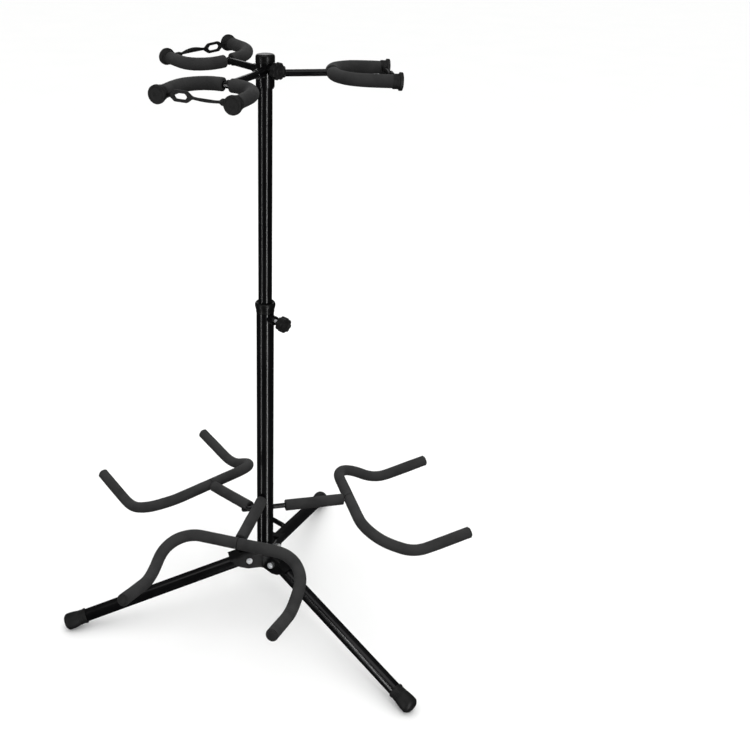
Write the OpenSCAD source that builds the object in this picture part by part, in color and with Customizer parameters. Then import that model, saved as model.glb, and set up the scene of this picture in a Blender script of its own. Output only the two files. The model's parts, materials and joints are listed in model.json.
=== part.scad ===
// Folding rack that holds three guitars round one upright.
// The upright stands on the Z axis with the feet on z = 0, and all sizes are millimetres.
// One cradle points along -Y; the other two sit at 120 degree steps round the upright.

/* [Column] */
// Diameter of the fixed outer tube
outer_tube_d = 28.6; // [25:0.1:32]
// Wall thickness of the outer tube
outer_tube_wall = 1.8; // [1:0.1:2.5]
// Height of the outer tube's top end
outer_tube_top = 591; // [500:1:650]
// Diameter of the sliding inner tube and of the legs
inner_tube_d = 22.2; // [18:0.1:25]
// Wall thickness of the inner tube and of the legs
inner_tube_wall = 1.5; // [1:0.1:2]
// Height of the inner tube's top end as it is set
inner_tube_top = 985.3; // [900:0.1:1050]
// Length of the inner tube that stays inside the outer tube
inner_overlap = 108; // [60:1:150]

/* [Collar and height knob] */
// Largest diameter of the flared guide collar
collar_d = 33.6; // [32:0.1:38]
// Height of the clamp screw's axis
height_knob_z = 572; // [500:1:590]
// Direction of both clamp knobs round the upright
knob_azimuth = 330; // [300:1:345]
// Diameter of the height knob
height_knob_d = 25; // [20:0.5:32]
// Diameter of the head knob
head_knob_d = 26; // [20:0.5:32]
// Diameter of both clamp screws
clamp_screw_d = 6; // [5:0.5:8]

/* [Legs] */
// Distance of each leg pivot from the column axis
pivot_r = 31; // [30:0.5:36]
// Height of the leg pivots
pivot_z = 108.8; // [100:0.1:130]
// Slope of each open leg below level
leg_tilt = 16.5; // [12:0.1:22]
// Length of each leg tube beyond its pivot
leg_len = 338; // [300:1:400]
// Largest diameter of the rubber boots
boot_d = 28.8; // [26:0.1:32]
// Length of the rubber boots
boot_len = 39; // [30:1:50]

/* [Cradles] */
// Height of each cradle's cross-bore: front, right, left
cradle_z = [234, 208, 191.5]; // [150:1:300]
// Slope of each cradle stem below level: front, right, left
cradle_tilt = [6, 0, 4]; // [0:0.5:12]
// How far each cradle is drawn out: front, right, left
cradle_out = [0, 18, 24]; // [0:1:30]
// Tail of each stem beyond the column axis: front, right, left
cradle_tail = [32, 38, 46]; // [30:1:60]
// Stem length from the column axis to the crossbar when pushed home
cradle_reach = 134; // [110:1:160]
// Diameter of the cradle foam
cradle_foam_d = 19.5; // [16:0.5:24]
// Half of the straight part of the crossbar
crossbar_half = 66; // [40:1:80]
// Bend radius between the crossbar and each prong
cradle_corner_r = 55; // [40:1:80]
// Straight length of each prong between its two bends
prong_root = 16; // [2:0.5:20]
// Slope of the prongs below level where they leave the crossbar
prong_drop = 26; // [10:1:35]
// Slope of the prong tips above level
prong_rise = 17; // [5:1:30]
// Bend radius where the prongs turn up
prong_lift_r = 60; // [40:1:90]
// Straight length at the end of each prong
prong_len = 77; // [50:1:110]

/* [Yokes] */
// Height of the yoke arms as they are set
yoke_z = 969; // [900:1:1050]
// Turn of the yoke head from the cradle directions
yoke_turn = -7.2; // [-30:0.1:30]
// Height of each arm above that: front, right, left
yoke_rise = [-1, -3.5, 0.5]; // [-4:0.5:4]
// Distance from the column axis to each fork: front, right, left
yoke_reach = [118, 101, 106]; // [90:0.5:130]
// Roll of each fork about its arm: front, right, left
yoke_roll = [-2, 0, -6]; // [-12:1:12]
// Diameter of the yoke arms
yoke_arm_d = 10.6; // [8:0.1:13]
// Diameter of the yoke foam
yoke_foam_d = 19.8; // [16:0.1:25]
// Half of the distance between a fork's prongs
yoke_half = 58; // [56:1:70]
// Bend radius of the fork corners
yoke_corner_r = 48; // [25:1:50]
// Straight length of each fork prong
yoke_prong = 42; // [35:1:80]
// Slope of each fork below level: front, right, left
yoke_droop = [2.4, 2.4, -3]; // [-4:0.1:8]
// Diameter of the flanged end caps
yoke_cap_d = 27; // [24:0.1:34]

/* [Hidden] */
$fn = 96;

paint = [0.05, 0.05, 0.055];
foam = [0.16, 0.16, 0.165];
rubber = [0.10, 0.10, 0.10];
plastic = [0.07, 0.07, 0.075];
zinc = [0.78, 0.79, 0.80];

run_gap = 0.05;                 // radial clearance of a running fit
side_gap = 0.3;                 // clearance beside a moving part
seam = 0.02;                    // step where a straight piece runs into the end of a bend
seam_len = 0.5;                 // length of that piece inside the bend
over = 1;                       // how far a cutter runs past the face it cuts
front = 0;
right = 1;
left = 2;

arm_azimuth = [270, 30, 150];
leg_azimuth = [90, 210, 330];
outer_r = outer_tube_d / 2;
outer_bore_r = outer_r - outer_tube_wall;
inner_r = inner_tube_d / 2;
inner_bore_r = inner_r - inner_tube_wall;
inner_bottom = outer_tube_top - inner_overlap;
screw_r = clamp_screw_d / 2;
screw_tip = inner_r + side_gap;

// foot of the column
hub_bottom = 92;
hub_top = 127;
hub_core_r = outer_r + 2;
tube_bottom = hub_bottom + 2.5;
plug_spigot = 12;
bracket_wall = 2;
bracket_in = inner_r + side_gap;
bracket_out = bracket_in + bracket_wall;
bracket_foot_r = 48;
bracket_foot_z = 97.5;
bracket_lip = 0.6;
web_half = bracket_in + bracket_wall / 2;
web_start = 12;
web_end = 32;
pin_r = 3;
pin_hole_r = pin_r + run_gap;
bolt_head_r = 5.5;
bolt_head_h = 3.6;
nut_h = 4.6;
leg_inner_end = 7;
bush_r = 4.5;
bush_half = 8.3;

boot_nose = 0.25;               // taper of the nose before its end; the floor cuts it flat

// collar round the top of the outer tube
collar_r = collar_d / 2;
collar_skirt = 10;
collar_lip = 7;
collar_tongue = 14;             // depth of the sleeve inside the tube, clear of the clamp screw
collar_bore_r = inner_r + run_gap;

// guide cup at the foot of the inner tube
guide_r = outer_bore_r - run_gap;
guide_h = 24;
guide_floor = 4;

// clamp knobs
boss_r = 7.5;
height_boss_end = 25;
height_knob_start = 34;
height_knob_h = 17;
head_boss_end = 17.5;
head_knob_start = 18.6;
head_knob_h = 14;
knob_neck_r = 6.5;
knob_neck_h = 4;
knob_lobes = 8;
knob_round = 2;
knob_seat = 9;                  // depth to which the screw is set into a knob

// head
sleeve_r = 14.2;
sleeve_bottom = yoke_z - 26;
sleeve_top = yoke_z + 12.5;
sleeve_chamfer = 3;
neck_r = 12.6;
neck_top = sleeve_top + 4;
cap_r = 14.8;
cap_top = yoke_z + 25;
cap_round = 4.5;
socket_start = 15;
socket_end = 29;
socket_base_r = 8.6;
socket_mouth_r = 6.9;

// yokes
arm_r = yoke_arm_d / 2;
fork_r = 4.8;
yoke_foam_r = yoke_foam_d / 2;
yoke_bar = yoke_half - yoke_corner_r;
yoke_gap = 6;                   // bare half width left for the arm between the two sleeves
yoke_cap_r = yoke_cap_d / 2;
cap_skirt = 9;
cap_skirt_r = yoke_foam_r + 1.3;
cap_disc = 5;
cap_edge = 1.4;
strap_t = 3;
strap_h = 5;
strap_back = 5;                 // distance of the strap's middle behind the prong ends
loop_len = 34;
loop_h = 16.5;
loop_bar = 4.2;
loop_gap = 5;
button_len = 9;
button_h = 10;

// cradles
stem_r = 4.3;
cradle_rod_r = 4.6;
cradle_foam_r = cradle_foam_d / 2;
stem_foam_start = 18;
lift_a = prong_drop + prong_rise;
foam_slit = 0.5;
stem_foam_end_gap = 1.6;
tip_r = 7.6;
tip_h = 2.4;
clip_hole_r = 1.3;
clip_hole_back = 5;

// ---------- shared shapes ----------

// Round bar along +X, or a tube when it has a bore
module bar(len, r, bore = 0) {
    rotate([0, 90, 0])
        difference() {
            cylinder(h = len, r = r);
            if (bore > 0)
                translate([0, 0, -over]) cylinder(h = len + 2 * over, r = bore);
        }
}

// Bend that leaves along +X and turns towards +Y
module bend(radius, angle, r, bore = 0) {
    translate([0, radius, 0])
        rotate([0, 0, -90])
            rotate_extrude(angle = angle)
                translate([radius, 0])
                    difference() {
                        circle(r = r);
                        if (bore > 0) circle(r = bore);
                    }
}

// Carries its children to the end of such a bend
module after_bend(radius, angle) {
    translate([radius * sin(angle), radius * (1 - cos(angle)), 0])
        rotate([0, 0, angle])
            children();
}

// Faces the children along +Y with their +Y side outwards
module sideways() {
    rotate([0, 0, 90]) rotate([180, 0, 0]) children();
}

// Lobed hand knob, its axis along +X and its neck at x = 0
module lobed_knob(d, h) {
    r = d / 2;
    head_h = h - knob_neck_h;
    lobe_r = r * 0.3;
    rotate([0, 90, 0])
        difference() {
            union() {
                cylinder(h = knob_neck_h + over, r = knob_neck_r);
                translate([0, 0, knob_neck_h])
                    rotate_extrude() {
                        square([r - knob_round, head_h]);
                        translate([0, knob_round]) square([r, head_h - 2 * knob_round]);
                        for (y = [knob_round, head_h - knob_round])
                            translate([r - knob_round, y]) circle(r = knob_round);
                    }
            }
            for (i = [0 : knob_lobes - 1])
                rotate([0, 0, i * 360 / knob_lobes])
                    translate([r + lobe_r * 0.45, 0, knob_neck_h - over / 2])
                        cylinder(h = head_h + over, r = lobe_r);
            translate([0, 0, -over]) cylinder(h = knob_seat + over, r = screw_r);
            translate([0, 0, h - 1]) cylinder(h = 1 + over, r = r * 0.42);
        }
}

// ---------- column ----------

module stem_line(i) {
    rotate([0, 0, arm_azimuth[i]])
        translate([0, 0, cradle_z[i]])
            rotate([0, cradle_tilt[i], 0])
                children();
}

module lower_tube() {
    color(paint)
        difference() {
            translate([0, 0, tube_bottom]) cylinder(h = outer_tube_top - tube_bottom, r = outer_r);
            translate([0, 0, tube_bottom - over])
                cylinder(h = outer_tube_top - tube_bottom + 2 * over, r = outer_bore_r);
            for (i = [front, right, left])
                stem_line(i)
                    translate([-outer_tube_d, 0, 0]) bar(2 * outer_tube_d, stem_r + run_gap);
            rotate([0, 0, knob_azimuth])
                translate([0, 0, height_knob_z]) bar(outer_tube_d, screw_r + side_gap);
        }
}

// Point of the bracket's outline beside the leg, given along the leg and above its axis
function beside_leg(along, above) = [
    pivot_r + along * cos(leg_tilt) + above * sin(leg_tilt),
    pivot_z - along * sin(leg_tilt) + above * cos(leg_tilt)
];

module bracket_side() {
    rim = bracket_out + bracket_lip;
    rotate([90, 0, 0])
        linear_extrude(height = bracket_wall)
            polygon([
                [hub_core_r / 2, hub_bottom + bracket_lip], [pivot_r + 2, hub_bottom + bracket_lip],
                [bracket_foot_r, bracket_foot_z], beside_leg(web_end + bracket_lip, rim),
                beside_leg(web_start - bracket_lip, rim), [pivot_r - 6, hub_top - bracket_lip],
                [hub_core_r / 2, hub_top - bracket_lip]
            ]);
}

module base_hub() {
    color(paint)
        difference() {
            union() {
                translate([0, 0, hub_bottom]) cylinder(h = hub_top - hub_bottom, r = hub_core_r);
                for (a = leg_azimuth)
                    rotate([0, 0, a]) {
                        translate([0, bracket_out, 0]) bracket_side();
                        translate([0, -bracket_in, 0]) bracket_side();
                        translate([pivot_r, 0, pivot_z])
                            rotate([0, leg_tilt, 0])
                                translate([web_start, -web_half, bracket_in])
                                    cube([web_end - web_start, 2 * web_half, bracket_wall]);
                    }
            }
            translate([0, 0, hub_bottom - over])
                cylinder(h = hub_top - hub_bottom + 2 * over, r = outer_r);
            for (a = leg_azimuth)
                rotate([0, 0, a])
                    translate([pivot_r, bracket_out + over, pivot_z])
                        rotate([90, 0, 0])
                            cylinder(h = 2 * (bracket_out + over), r = pin_r + 0.2);
        }
}

module hub_plug() {
    color(plastic) {
        translate([0, 0, hub_bottom]) cylinder(h = tube_bottom - hub_bottom, r = outer_r);
        translate([0, 0, tube_bottom]) cylinder(h = plug_spigot, r = outer_bore_r);
    }
}

module leg_bolts() {
    color(zinc)
        for (a = leg_azimuth)
            rotate([0, 0, a])
                translate([pivot_r, bracket_out, pivot_z])
                    rotate([90, 0, 0]) {
                        cylinder(h = 2 * bracket_out + nut_h + 1, r = pin_r);
                        translate([0, 0, -1.2]) cylinder(h = 1.2, r = bolt_head_r);
                        translate([0, 0, -bolt_head_h]) cylinder(h = bolt_head_h, r = 4.9, $fn = 6);
                    }
}

module leg_nuts() {
    color(zinc)
        for (a = leg_azimuth)
            rotate([0, 0, a])
                translate([pivot_r, -bracket_out, pivot_z])
                    rotate([90, 0, 0])
                        difference() {
                            cylinder(h = nut_h, r = bolt_head_r, $fn = 6);
                            translate([0, 0, -over]) cylinder(h = nut_h + 2 * over, r = pin_r);
                        }
}

module collar() {
    color(plastic)
        rotate_extrude()
            polygon([
                [collar_bore_r, outer_tube_top - collar_tongue],
                [outer_bore_r, outer_tube_top - collar_tongue],
                [outer_bore_r, outer_tube_top], [outer_r, outer_tube_top],
                [outer_r, outer_tube_top - collar_skirt],
                [outer_r + 0.7, outer_tube_top - collar_skirt],
                [outer_r + 0.7, outer_tube_top - collar_skirt + 1.6],
                [collar_r, outer_tube_top + 1], [collar_r, outer_tube_top + 3.4],
                [collar_r - 1, outer_tube_top + 6], [collar_r - 2.2, outer_tube_top + collar_lip],
                [collar_bore_r, outer_tube_top + collar_lip]
            ]);
}

module knob_boss() {
    color(paint)
        difference() {
            rotate([0, 0, knob_azimuth])
                translate([0, 0, height_knob_z])
                    bar(height_boss_end, boss_r, screw_r + run_gap);
            translate([0, 0, height_knob_z - 2 * boss_r]) cylinder(h = 4 * boss_r, r = outer_r);
        }
}

// ---------- legs ----------

module leg_line(a) {
    rotate([0, 0, a])
        translate([pivot_r, 0, pivot_z])
            rotate([0, leg_tilt, 0])
                children();
}

module pivot_bore() {
    translate([0, inner_tube_d, 0]) rotate([90, 0, 0]) cylinder(h = 2 * inner_tube_d, r = pin_hole_r);
}

module leg_tube(a) {
    leg_line(a)
        difference() {
            translate([-leg_inner_end, 0, 0]) bar(leg_inner_end + leg_len, inner_r, inner_bore_r);
            pivot_bore();
        }
}

module leg_bush(a) {
    leg_line(a)
        difference() {
            translate([0, bush_half, 0]) rotate([90, 0, 0]) cylinder(h = 2 * bush_half, r = bush_r);
            pivot_bore();
        }
}

module leg_boot(a) {
    r = boot_d / 2;
    back = leg_len + 4 - boot_len;
    difference() {
        leg_line(a)
            rotate([0, 90, 0])
                rotate_extrude()
                    polygon([
                        [inner_r, back], [inner_r + 2.1, back], [inner_r + 2.1, back + 3.4],
                        [inner_r + 1.3, back + 4.2], [inner_r + 1.7, back + 12],
                        [r - 0.6, back + 20], [r, back + 26], [r, back + 31],
                        [r - boot_nose, back + 34.5], [r - 2.8, back + 37.2], [r - 5, back + boot_len],
                        [0, back + boot_len], [0, leg_len], [inner_r, leg_len]
                    ]);
        translate([0, 0, -boot_d]) cylinder(h = boot_d, r = 2 * leg_len);
    }
}

module leg_rear_tube() { color(paint) leg_tube(leg_azimuth[0]); }
module leg_rear_bush() { color(plastic) leg_bush(leg_azimuth[0]); }
module leg_rear_boot() { color(rubber) leg_boot(leg_azimuth[0]); }
module leg_left_tube() { color(paint) leg_tube(leg_azimuth[1]); }
module leg_left_bush() { color(plastic) leg_bush(leg_azimuth[1]); }
module leg_left_boot() { color(rubber) leg_boot(leg_azimuth[1]); }
module leg_right_tube() { color(paint) leg_tube(leg_azimuth[2]); }
module leg_right_bush() { color(plastic) leg_bush(leg_azimuth[2]); }
module leg_right_boot() { color(rubber) leg_boot(leg_azimuth[2]); }

// ---------- mast ----------

module upper_tube() {
    color(paint)
        difference() {
            translate([0, 0, inner_bottom]) cylinder(h = inner_tube_top - inner_bottom, r = inner_r);
            translate([0, 0, inner_bottom - over])
                cylinder(h = inner_tube_top - inner_bottom + 2 * over, r = inner_bore_r);
        }
}

module mast_guide() {
    color(plastic)
        difference() {
            translate([0, 0, inner_bottom - guide_floor]) cylinder(h = guide_h, r = guide_r);
            translate([0, 0, inner_bottom]) cylinder(h = guide_h, r = inner_r);
            translate([0, 0, inner_bottom - guide_floor - over])
                cylinder(h = guide_h, r = inner_bore_r - 2);
        }
}

// ---------- clamp knobs ----------

module knob_line(z) {
    rotate([0, 0, knob_azimuth]) translate([0, 0, z]) children();
}

module height_knob() {
    color(plastic)
        knob_line(height_knob_z)
            translate([height_knob_start, 0, 0]) lobed_knob(height_knob_d, height_knob_h);
}

module height_screw() {
    color(zinc)
        knob_line(height_knob_z)
            translate([screw_tip, 0, 0]) bar(height_knob_start + knob_seat - screw_tip, screw_r);
}

module head_knob() {
    color(plastic)
        knob_line(yoke_z + 3)
            translate([head_knob_start, 0, 0]) lobed_knob(head_knob_d, head_knob_h);
}

module head_screw() {
    color(zinc)
        knob_line(yoke_z + 3)
            translate([screw_tip, 0, 0]) bar(head_knob_start + knob_seat - screw_tip, screw_r);
}

// ---------- head ----------

module yoke_line(i) {
    rotate([0, 0, arm_azimuth[i] + yoke_turn])
        translate([0, 0, yoke_z + yoke_rise[i]])
            children();
}

module head_sleeve() {
    color(paint)
        difference() {
            union() {
                rotate_extrude()
                    polygon([
                        [0, sleeve_bottom], [sleeve_r - 1.2, sleeve_bottom],
                        [sleeve_r, sleeve_bottom + sleeve_chamfer], [sleeve_r, sleeve_top],
                        [neck_r, sleeve_top], [neck_r, neck_top], [0, neck_top]
                    ]);
                for (i = [front, right, left])
                    yoke_line(i)
                        rotate([0, 90, 0])
                            cylinder(h = socket_end, r1 = socket_base_r + 1.2, r2 = socket_mouth_r);
                knob_line(yoke_z + 3) bar(head_boss_end, boss_r);
            }
            translate([0, 0, sleeve_bottom - over])
                cylinder(h = neck_top - sleeve_bottom + 2 * over, r = inner_r + run_gap);
            for (i = [front, right, left])
                yoke_line(i) translate([socket_start, 0, 0]) bar(socket_end, arm_r);
            knob_line(yoke_z + 3) bar(head_boss_end + over, screw_r + run_gap);
        }
}

module head_cap() {
    color(plastic)
        rotate_extrude()
            translate([0, sleeve_top])
                difference() {
                    union() {
                        square([cap_r - cap_round, cap_top - sleeve_top]);
                        square([cap_r, cap_top - sleeve_top - cap_round]);
                        intersection() {
                            translate([cap_r - cap_round, cap_top - sleeve_top - cap_round])
                                circle(r = cap_round);
                            square([cap_r, cap_top - sleeve_top]);
                        }
                    }
                    square([neck_r, neck_top - sleeve_top]);
                }
}

// ---------- yokes ----------

module fork_place(i) {
    yoke_line(i)
        translate([yoke_reach[i], 0, 0])
            rotate([yoke_roll[i], yoke_droop[i], 0])
                children();
}

module yoke_limb(r, bore, start) {
    sideways() {
        translate([start, 0, 0]) bar(yoke_bar - start, r, bore);
        translate([yoke_bar, 0, 0]) {
            bend(yoke_corner_r, 90, r, bore);
            after_bend(yoke_corner_r, 90) bar(yoke_prong, r, bore);
        }
    }
}

module yoke_frame(i) {
    yoke_line(i) translate([socket_start, 0, 0]) bar(yoke_reach[i] - socket_start, arm_r);
    fork_place(i) {
        rotate([0, 0, 90]) translate([-yoke_bar, 0, 0]) bar(2 * yoke_bar, fork_r);
        for (side = [0, 1])
            mirror([0, side, 0])
                sideways()
                    translate([yoke_bar, 0, 0]) {
                        bend(yoke_corner_r, 90, fork_r);
                        after_bend(yoke_corner_r, 90) bar(yoke_prong, fork_r);
                    }
    }
}

module yoke_foam(i, side) {
    fork_place(i) mirror([0, side, 0]) yoke_limb(yoke_foam_r, fork_r, yoke_gap);
}

module yoke_caps(i) {
    fork_place(i)
        for (side = [0, 1])
            mirror([0, side, 0])
                translate([yoke_corner_r + yoke_prong, yoke_half, 0])
                    rotate([0, 90, 0])
                        rotate_extrude() {
                            translate([yoke_foam_r, -cap_skirt])
                                square([cap_skirt_r - yoke_foam_r, cap_skirt + cap_disc / 2]);
                            square([yoke_cap_r - cap_edge, cap_disc]);
                            translate([0, cap_edge]) square([yoke_cap_r, cap_disc - 2 * cap_edge]);
                            for (y = [cap_edge, cap_disc - cap_edge])
                                translate([yoke_cap_r - cap_edge, y]) circle(r = cap_edge);
                        }
}

// Long six-sided outline of the strap's finger loop
module loop_outline(len, h) {
    nose = h * 0.42;
    polygon([
        [-len / 2, 0], [-len / 2 + nose, h / 2], [len / 2 - nose, h / 2],
        [len / 2, 0], [len / 2 - nose, -h / 2], [-len / 2 + nose, -h / 2]
    ]);
}

// Cutter for the strap's window, running past both of its faces
module strap_window() {
    translate([yoke_corner_r + yoke_prong - strap_back, 0, 0])
        rotate([90, 0, 90])
            linear_extrude(height = 2 * strap_t)
                children();
}

// Flat piece of strap between the prongs: x runs across the fork and y is height
module strap_slab() {
    translate([yoke_corner_r + yoke_prong - strap_back - strap_t / 2, 0, 0])
        rotate([90, 0, 90])
            linear_extrude(height = strap_t)
                children();
}

module yoke_strap(i) {
    loop_mid = -yoke_half + cap_skirt_r + loop_gap + loop_len / 2;
    fork_place(i)
        difference() {
            union() {
                strap_slab() translate([-yoke_half, -strap_h / 2]) square([2 * yoke_half, strap_h]);
                strap_slab() translate([loop_mid, 0]) loop_outline(loop_len, loop_h);
                strap_slab()
                    translate([yoke_half - cap_skirt_r - button_len, -button_h / 2])
                        square([button_len + 4, button_h]);
            }
            translate([-strap_t, 0, 0])
                strap_window() translate([loop_mid, 0])
                    loop_outline(loop_len - 3.2 * loop_bar, loop_h - 2 * loop_bar);
            for (side = [-1, 1])
                translate([yoke_corner_r, side * yoke_half, 0]) bar(2 * yoke_prong, cap_skirt_r);
        }
}

module yoke_front_frame() { color(paint) yoke_frame(front); }
module yoke_front_foam_a() { color(foam) yoke_foam(front, 0); }
module yoke_front_foam_b() { color(foam) yoke_foam(front, 1); }
module yoke_front_caps() { color(rubber) yoke_caps(front); }
module yoke_front_strap() { color(rubber) yoke_strap(front); }
module yoke_right_frame() { color(paint) yoke_frame(right); }
module yoke_right_foam_a() { color(foam) yoke_foam(right, 0); }
module yoke_right_foam_b() { color(foam) yoke_foam(right, 1); }
module yoke_right_caps() { color(rubber) yoke_caps(right); }
module yoke_right_strap() { color(rubber) yoke_strap(right); }
module yoke_left_frame() { color(paint) yoke_frame(left); }
module yoke_left_foam_a() { color(foam) yoke_foam(left, 0); }
module yoke_left_foam_b() { color(foam) yoke_foam(left, 1); }
module yoke_left_caps() { color(rubber) yoke_caps(left); }
module yoke_left_strap() { color(rubber) yoke_strap(left); }

// ---------- cradles ----------

function reach(i) = cradle_reach + cradle_out[i];

// Middle of a cradle's crossbar, kept level whatever the stem's slope
module cradle_place(i) {
    rotate([0, 0, arm_azimuth[i]])
        translate([
            reach(i) * cos(cradle_tilt[i]), 0, cradle_z[i] - reach(i) * sin(cradle_tilt[i])
        ])
            children();
}

module cradle_prong(r, bore) {
    translate([crossbar_half, 0, 0]) {
        bend(cradle_corner_r, 90, r, bore);
        after_bend(cradle_corner_r, 90)
            rotate([-90, 0, 0]) {
                bar(prong_root, r, bore);
                translate([prong_root, 0, 0]) {
                    bend(prong_lift_r, lift_a, r, bore);
                    after_bend(prong_lift_r, lift_a)
                        translate([-seam_len, 0, 0])
                            bar(prong_len + seam_len, r - seam, bore > 0 ? bore + seam : 0);
                }
            }
    }
}

module cradle_rod(i) {
    stem_line(i) {
        difference() {
            union() {
                translate([-cradle_tail[i], 0, 0]) bar(cradle_tail[i] + reach(i), stem_r);
                translate([-cradle_tail[i], 0, 0]) sphere(r = stem_r);
            }
            translate([clip_hole_back - cradle_tail[i], 0, -2 * stem_r])
                cylinder(h = 4 * stem_r, r = clip_hole_r);
        }
    }
    cradle_place(i) {
        rotate([0, 0, 90])
            translate([-crossbar_half - seam_len, 0, 0])
                bar(2 * (crossbar_half + seam_len), cradle_rod_r - seam);
        for (side = [0, 1])
            mirror([0, side, 0]) rotate([0, prong_drop, 0]) sideways() cradle_prong(cradle_rod_r, 0);
    }
}

module cradle_stem_foam(i) {
    foam_start = stem_foam_start + cradle_out[i];
    stem_line(i)
        translate([foam_start, 0, 0])
            bar(reach(i) - foam_start - cradle_foam_r - stem_foam_end_gap, cradle_foam_r, stem_r);
}

module cradle_foam(i, side) {
    difference() {
        cradle_place(i)
            mirror([0, side, 0])
                rotate([0, prong_drop, 0])
                    sideways() {
                        translate([foam_slit, 0, 0])
                            bar(crossbar_half - foam_slit, cradle_foam_r, cradle_rod_r);
                        cradle_prong(cradle_foam_r, cradle_rod_r);
                    }
        stem_line(i)
            translate([reach(i) - 2 * cradle_foam_r, 0, 0]) bar(2 * cradle_foam_r, stem_r + 0.4);
    }
}

module cradle_tips(i) {
    cradle_place(i)
        for (side = [0, 1])
            mirror([0, side, 0])
                rotate([0, prong_drop, 0])
                    sideways()
                        translate([crossbar_half, 0, 0])
                            after_bend(cradle_corner_r, 90)
                                rotate([-90, 0, 0])
                                    translate([prong_root, 0, 0])
                                        after_bend(prong_lift_r, lift_a)
                                            translate([prong_len, 0, 0]) bar(tip_h, tip_r);
}

module cradle_front_rod() { color(paint) cradle_rod(front); }
module cradle_front_stem_foam() { color(foam) cradle_stem_foam(front); }
module cradle_front_foam_a() { color(foam) cradle_foam(front, 0); }
module cradle_front_foam_b() { color(foam) cradle_foam(front, 1); }
module cradle_front_tips() { color(rubber) cradle_tips(front); }
module cradle_right_rod() { color(paint) cradle_rod(right); }
module cradle_right_stem_foam() { color(foam) cradle_stem_foam(right); }
module cradle_right_foam_a() { color(foam) cradle_foam(right, 0); }
module cradle_right_foam_b() { color(foam) cradle_foam(right, 1); }
module cradle_right_tips() { color(rubber) cradle_tips(right); }
module cradle_left_rod() { color(paint) cradle_rod(left); }
module cradle_left_stem_foam() { color(foam) cradle_stem_foam(left); }
module cradle_left_foam_a() { color(foam) cradle_foam(left, 0); }
module cradle_left_foam_b() { color(foam) cradle_foam(left, 1); }
module cradle_left_tips() { color(rubber) cradle_tips(left); }

// ---------- parts ----------

lower_tube();
base_hub();
hub_plug();
leg_bolts();
leg_nuts();
collar();
knob_boss();
leg_rear_tube();
leg_rear_bush();
leg_rear_boot();
leg_left_tube();
leg_left_bush();
leg_left_boot();
leg_right_tube();
leg_right_bush();
leg_right_boot();
upper_tube();
mast_guide();
height_knob();
height_screw();
head_sleeve();
head_cap();
head_knob();
head_screw();
yoke_front_frame();
yoke_front_foam_a();
yoke_front_foam_b();
yoke_front_caps();
yoke_front_strap();
yoke_right_frame();
yoke_right_foam_a();
yoke_right_foam_b();
yoke_right_caps();
yoke_right_strap();
yoke_left_frame();
yoke_left_foam_a();
yoke_left_foam_b();
yoke_left_caps();
yoke_left_strap();
cradle_front_rod();
cradle_front_stem_foam();
cradle_front_foam_a();
cradle_front_foam_b();
cradle_front_tips();
cradle_right_rod();
cradle_right_stem_foam();
cradle_right_foam_a();
cradle_right_foam_b();
cradle_right_tips();
cradle_left_rod();
cradle_left_stem_foam();
cradle_left_foam_a();
cradle_left_foam_b();
cradle_left_tips();
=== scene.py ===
"""Looks of the folding guitar rack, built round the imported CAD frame.

Lengths are metres and angles are degrees."""
import json
import math

import bmesh
import bpy
import numpy as np
from mathutils import Matrix, Vector, noise


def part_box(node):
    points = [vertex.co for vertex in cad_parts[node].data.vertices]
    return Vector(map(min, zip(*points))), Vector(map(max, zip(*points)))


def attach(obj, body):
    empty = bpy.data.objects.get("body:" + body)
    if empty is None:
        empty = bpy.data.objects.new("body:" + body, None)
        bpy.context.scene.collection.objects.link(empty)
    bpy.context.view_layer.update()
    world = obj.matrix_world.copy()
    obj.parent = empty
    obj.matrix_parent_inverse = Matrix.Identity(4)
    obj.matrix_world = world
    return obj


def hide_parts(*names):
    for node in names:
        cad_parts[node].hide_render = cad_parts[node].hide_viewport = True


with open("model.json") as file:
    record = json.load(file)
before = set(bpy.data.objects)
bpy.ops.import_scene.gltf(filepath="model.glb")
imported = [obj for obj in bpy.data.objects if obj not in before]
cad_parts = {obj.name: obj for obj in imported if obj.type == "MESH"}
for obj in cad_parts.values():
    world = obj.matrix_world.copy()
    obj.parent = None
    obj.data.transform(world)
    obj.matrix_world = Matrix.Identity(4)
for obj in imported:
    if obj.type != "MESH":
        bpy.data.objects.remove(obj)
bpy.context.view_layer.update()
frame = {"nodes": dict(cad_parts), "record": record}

MM = 0.001
HOME = {
    node: body
    for body, nodes in frame["record"]["behaviour"]["bodies"].items()
    for node in nodes
}

# ---------- sizes that the frame's boxes don't give ----------

ARMS = {"front": 270.0, "right": 30.0, "left": 150.0}
LEGS = {"rear": 90.0, "left": 210.0, "right": 330.0}
KNOB_AZIMUTH = 330.0

TUBE_R = 14.3 * MM
TUBE_TOP = 591 * MM
INNER_R = 11.1 * MM
COLLAR_R = 16.8 * MM
COLLAR_BORE_R = 11.15 * MM

PIVOT_R = 31 * MM
PIVOT_Z = 108.8 * MM
LEG_TILT = 16.5
LEG_LEN = 338 * MM
BOOT_R = 14.4 * MM
BOOT_LEN = 39 * MM
BRACKET_OUT = 13.4 * MM
BOLT_R = 3 * MM
BOLT_HEAD_R = 5.5 * MM
BOLT_HEAD_H = 3.6 * MM
NUT_H = 4.6 * MM

HEIGHT_KNOB_Z = 572 * MM
KNOB_NECK = 4 * MM
HEIGHT_KNOB = {"start": 34 * MM, "radius": 12.5 * MM, "height": 17 * MM}
HEAD_KNOB = {"start": 18.6 * MM, "radius": 13 * MM, "height": 14 * MM}
SCREW_TIP = 11.4 * MM
KNOB_SEAT = 9 * MM
KNOB_LOBES = 8

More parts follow.
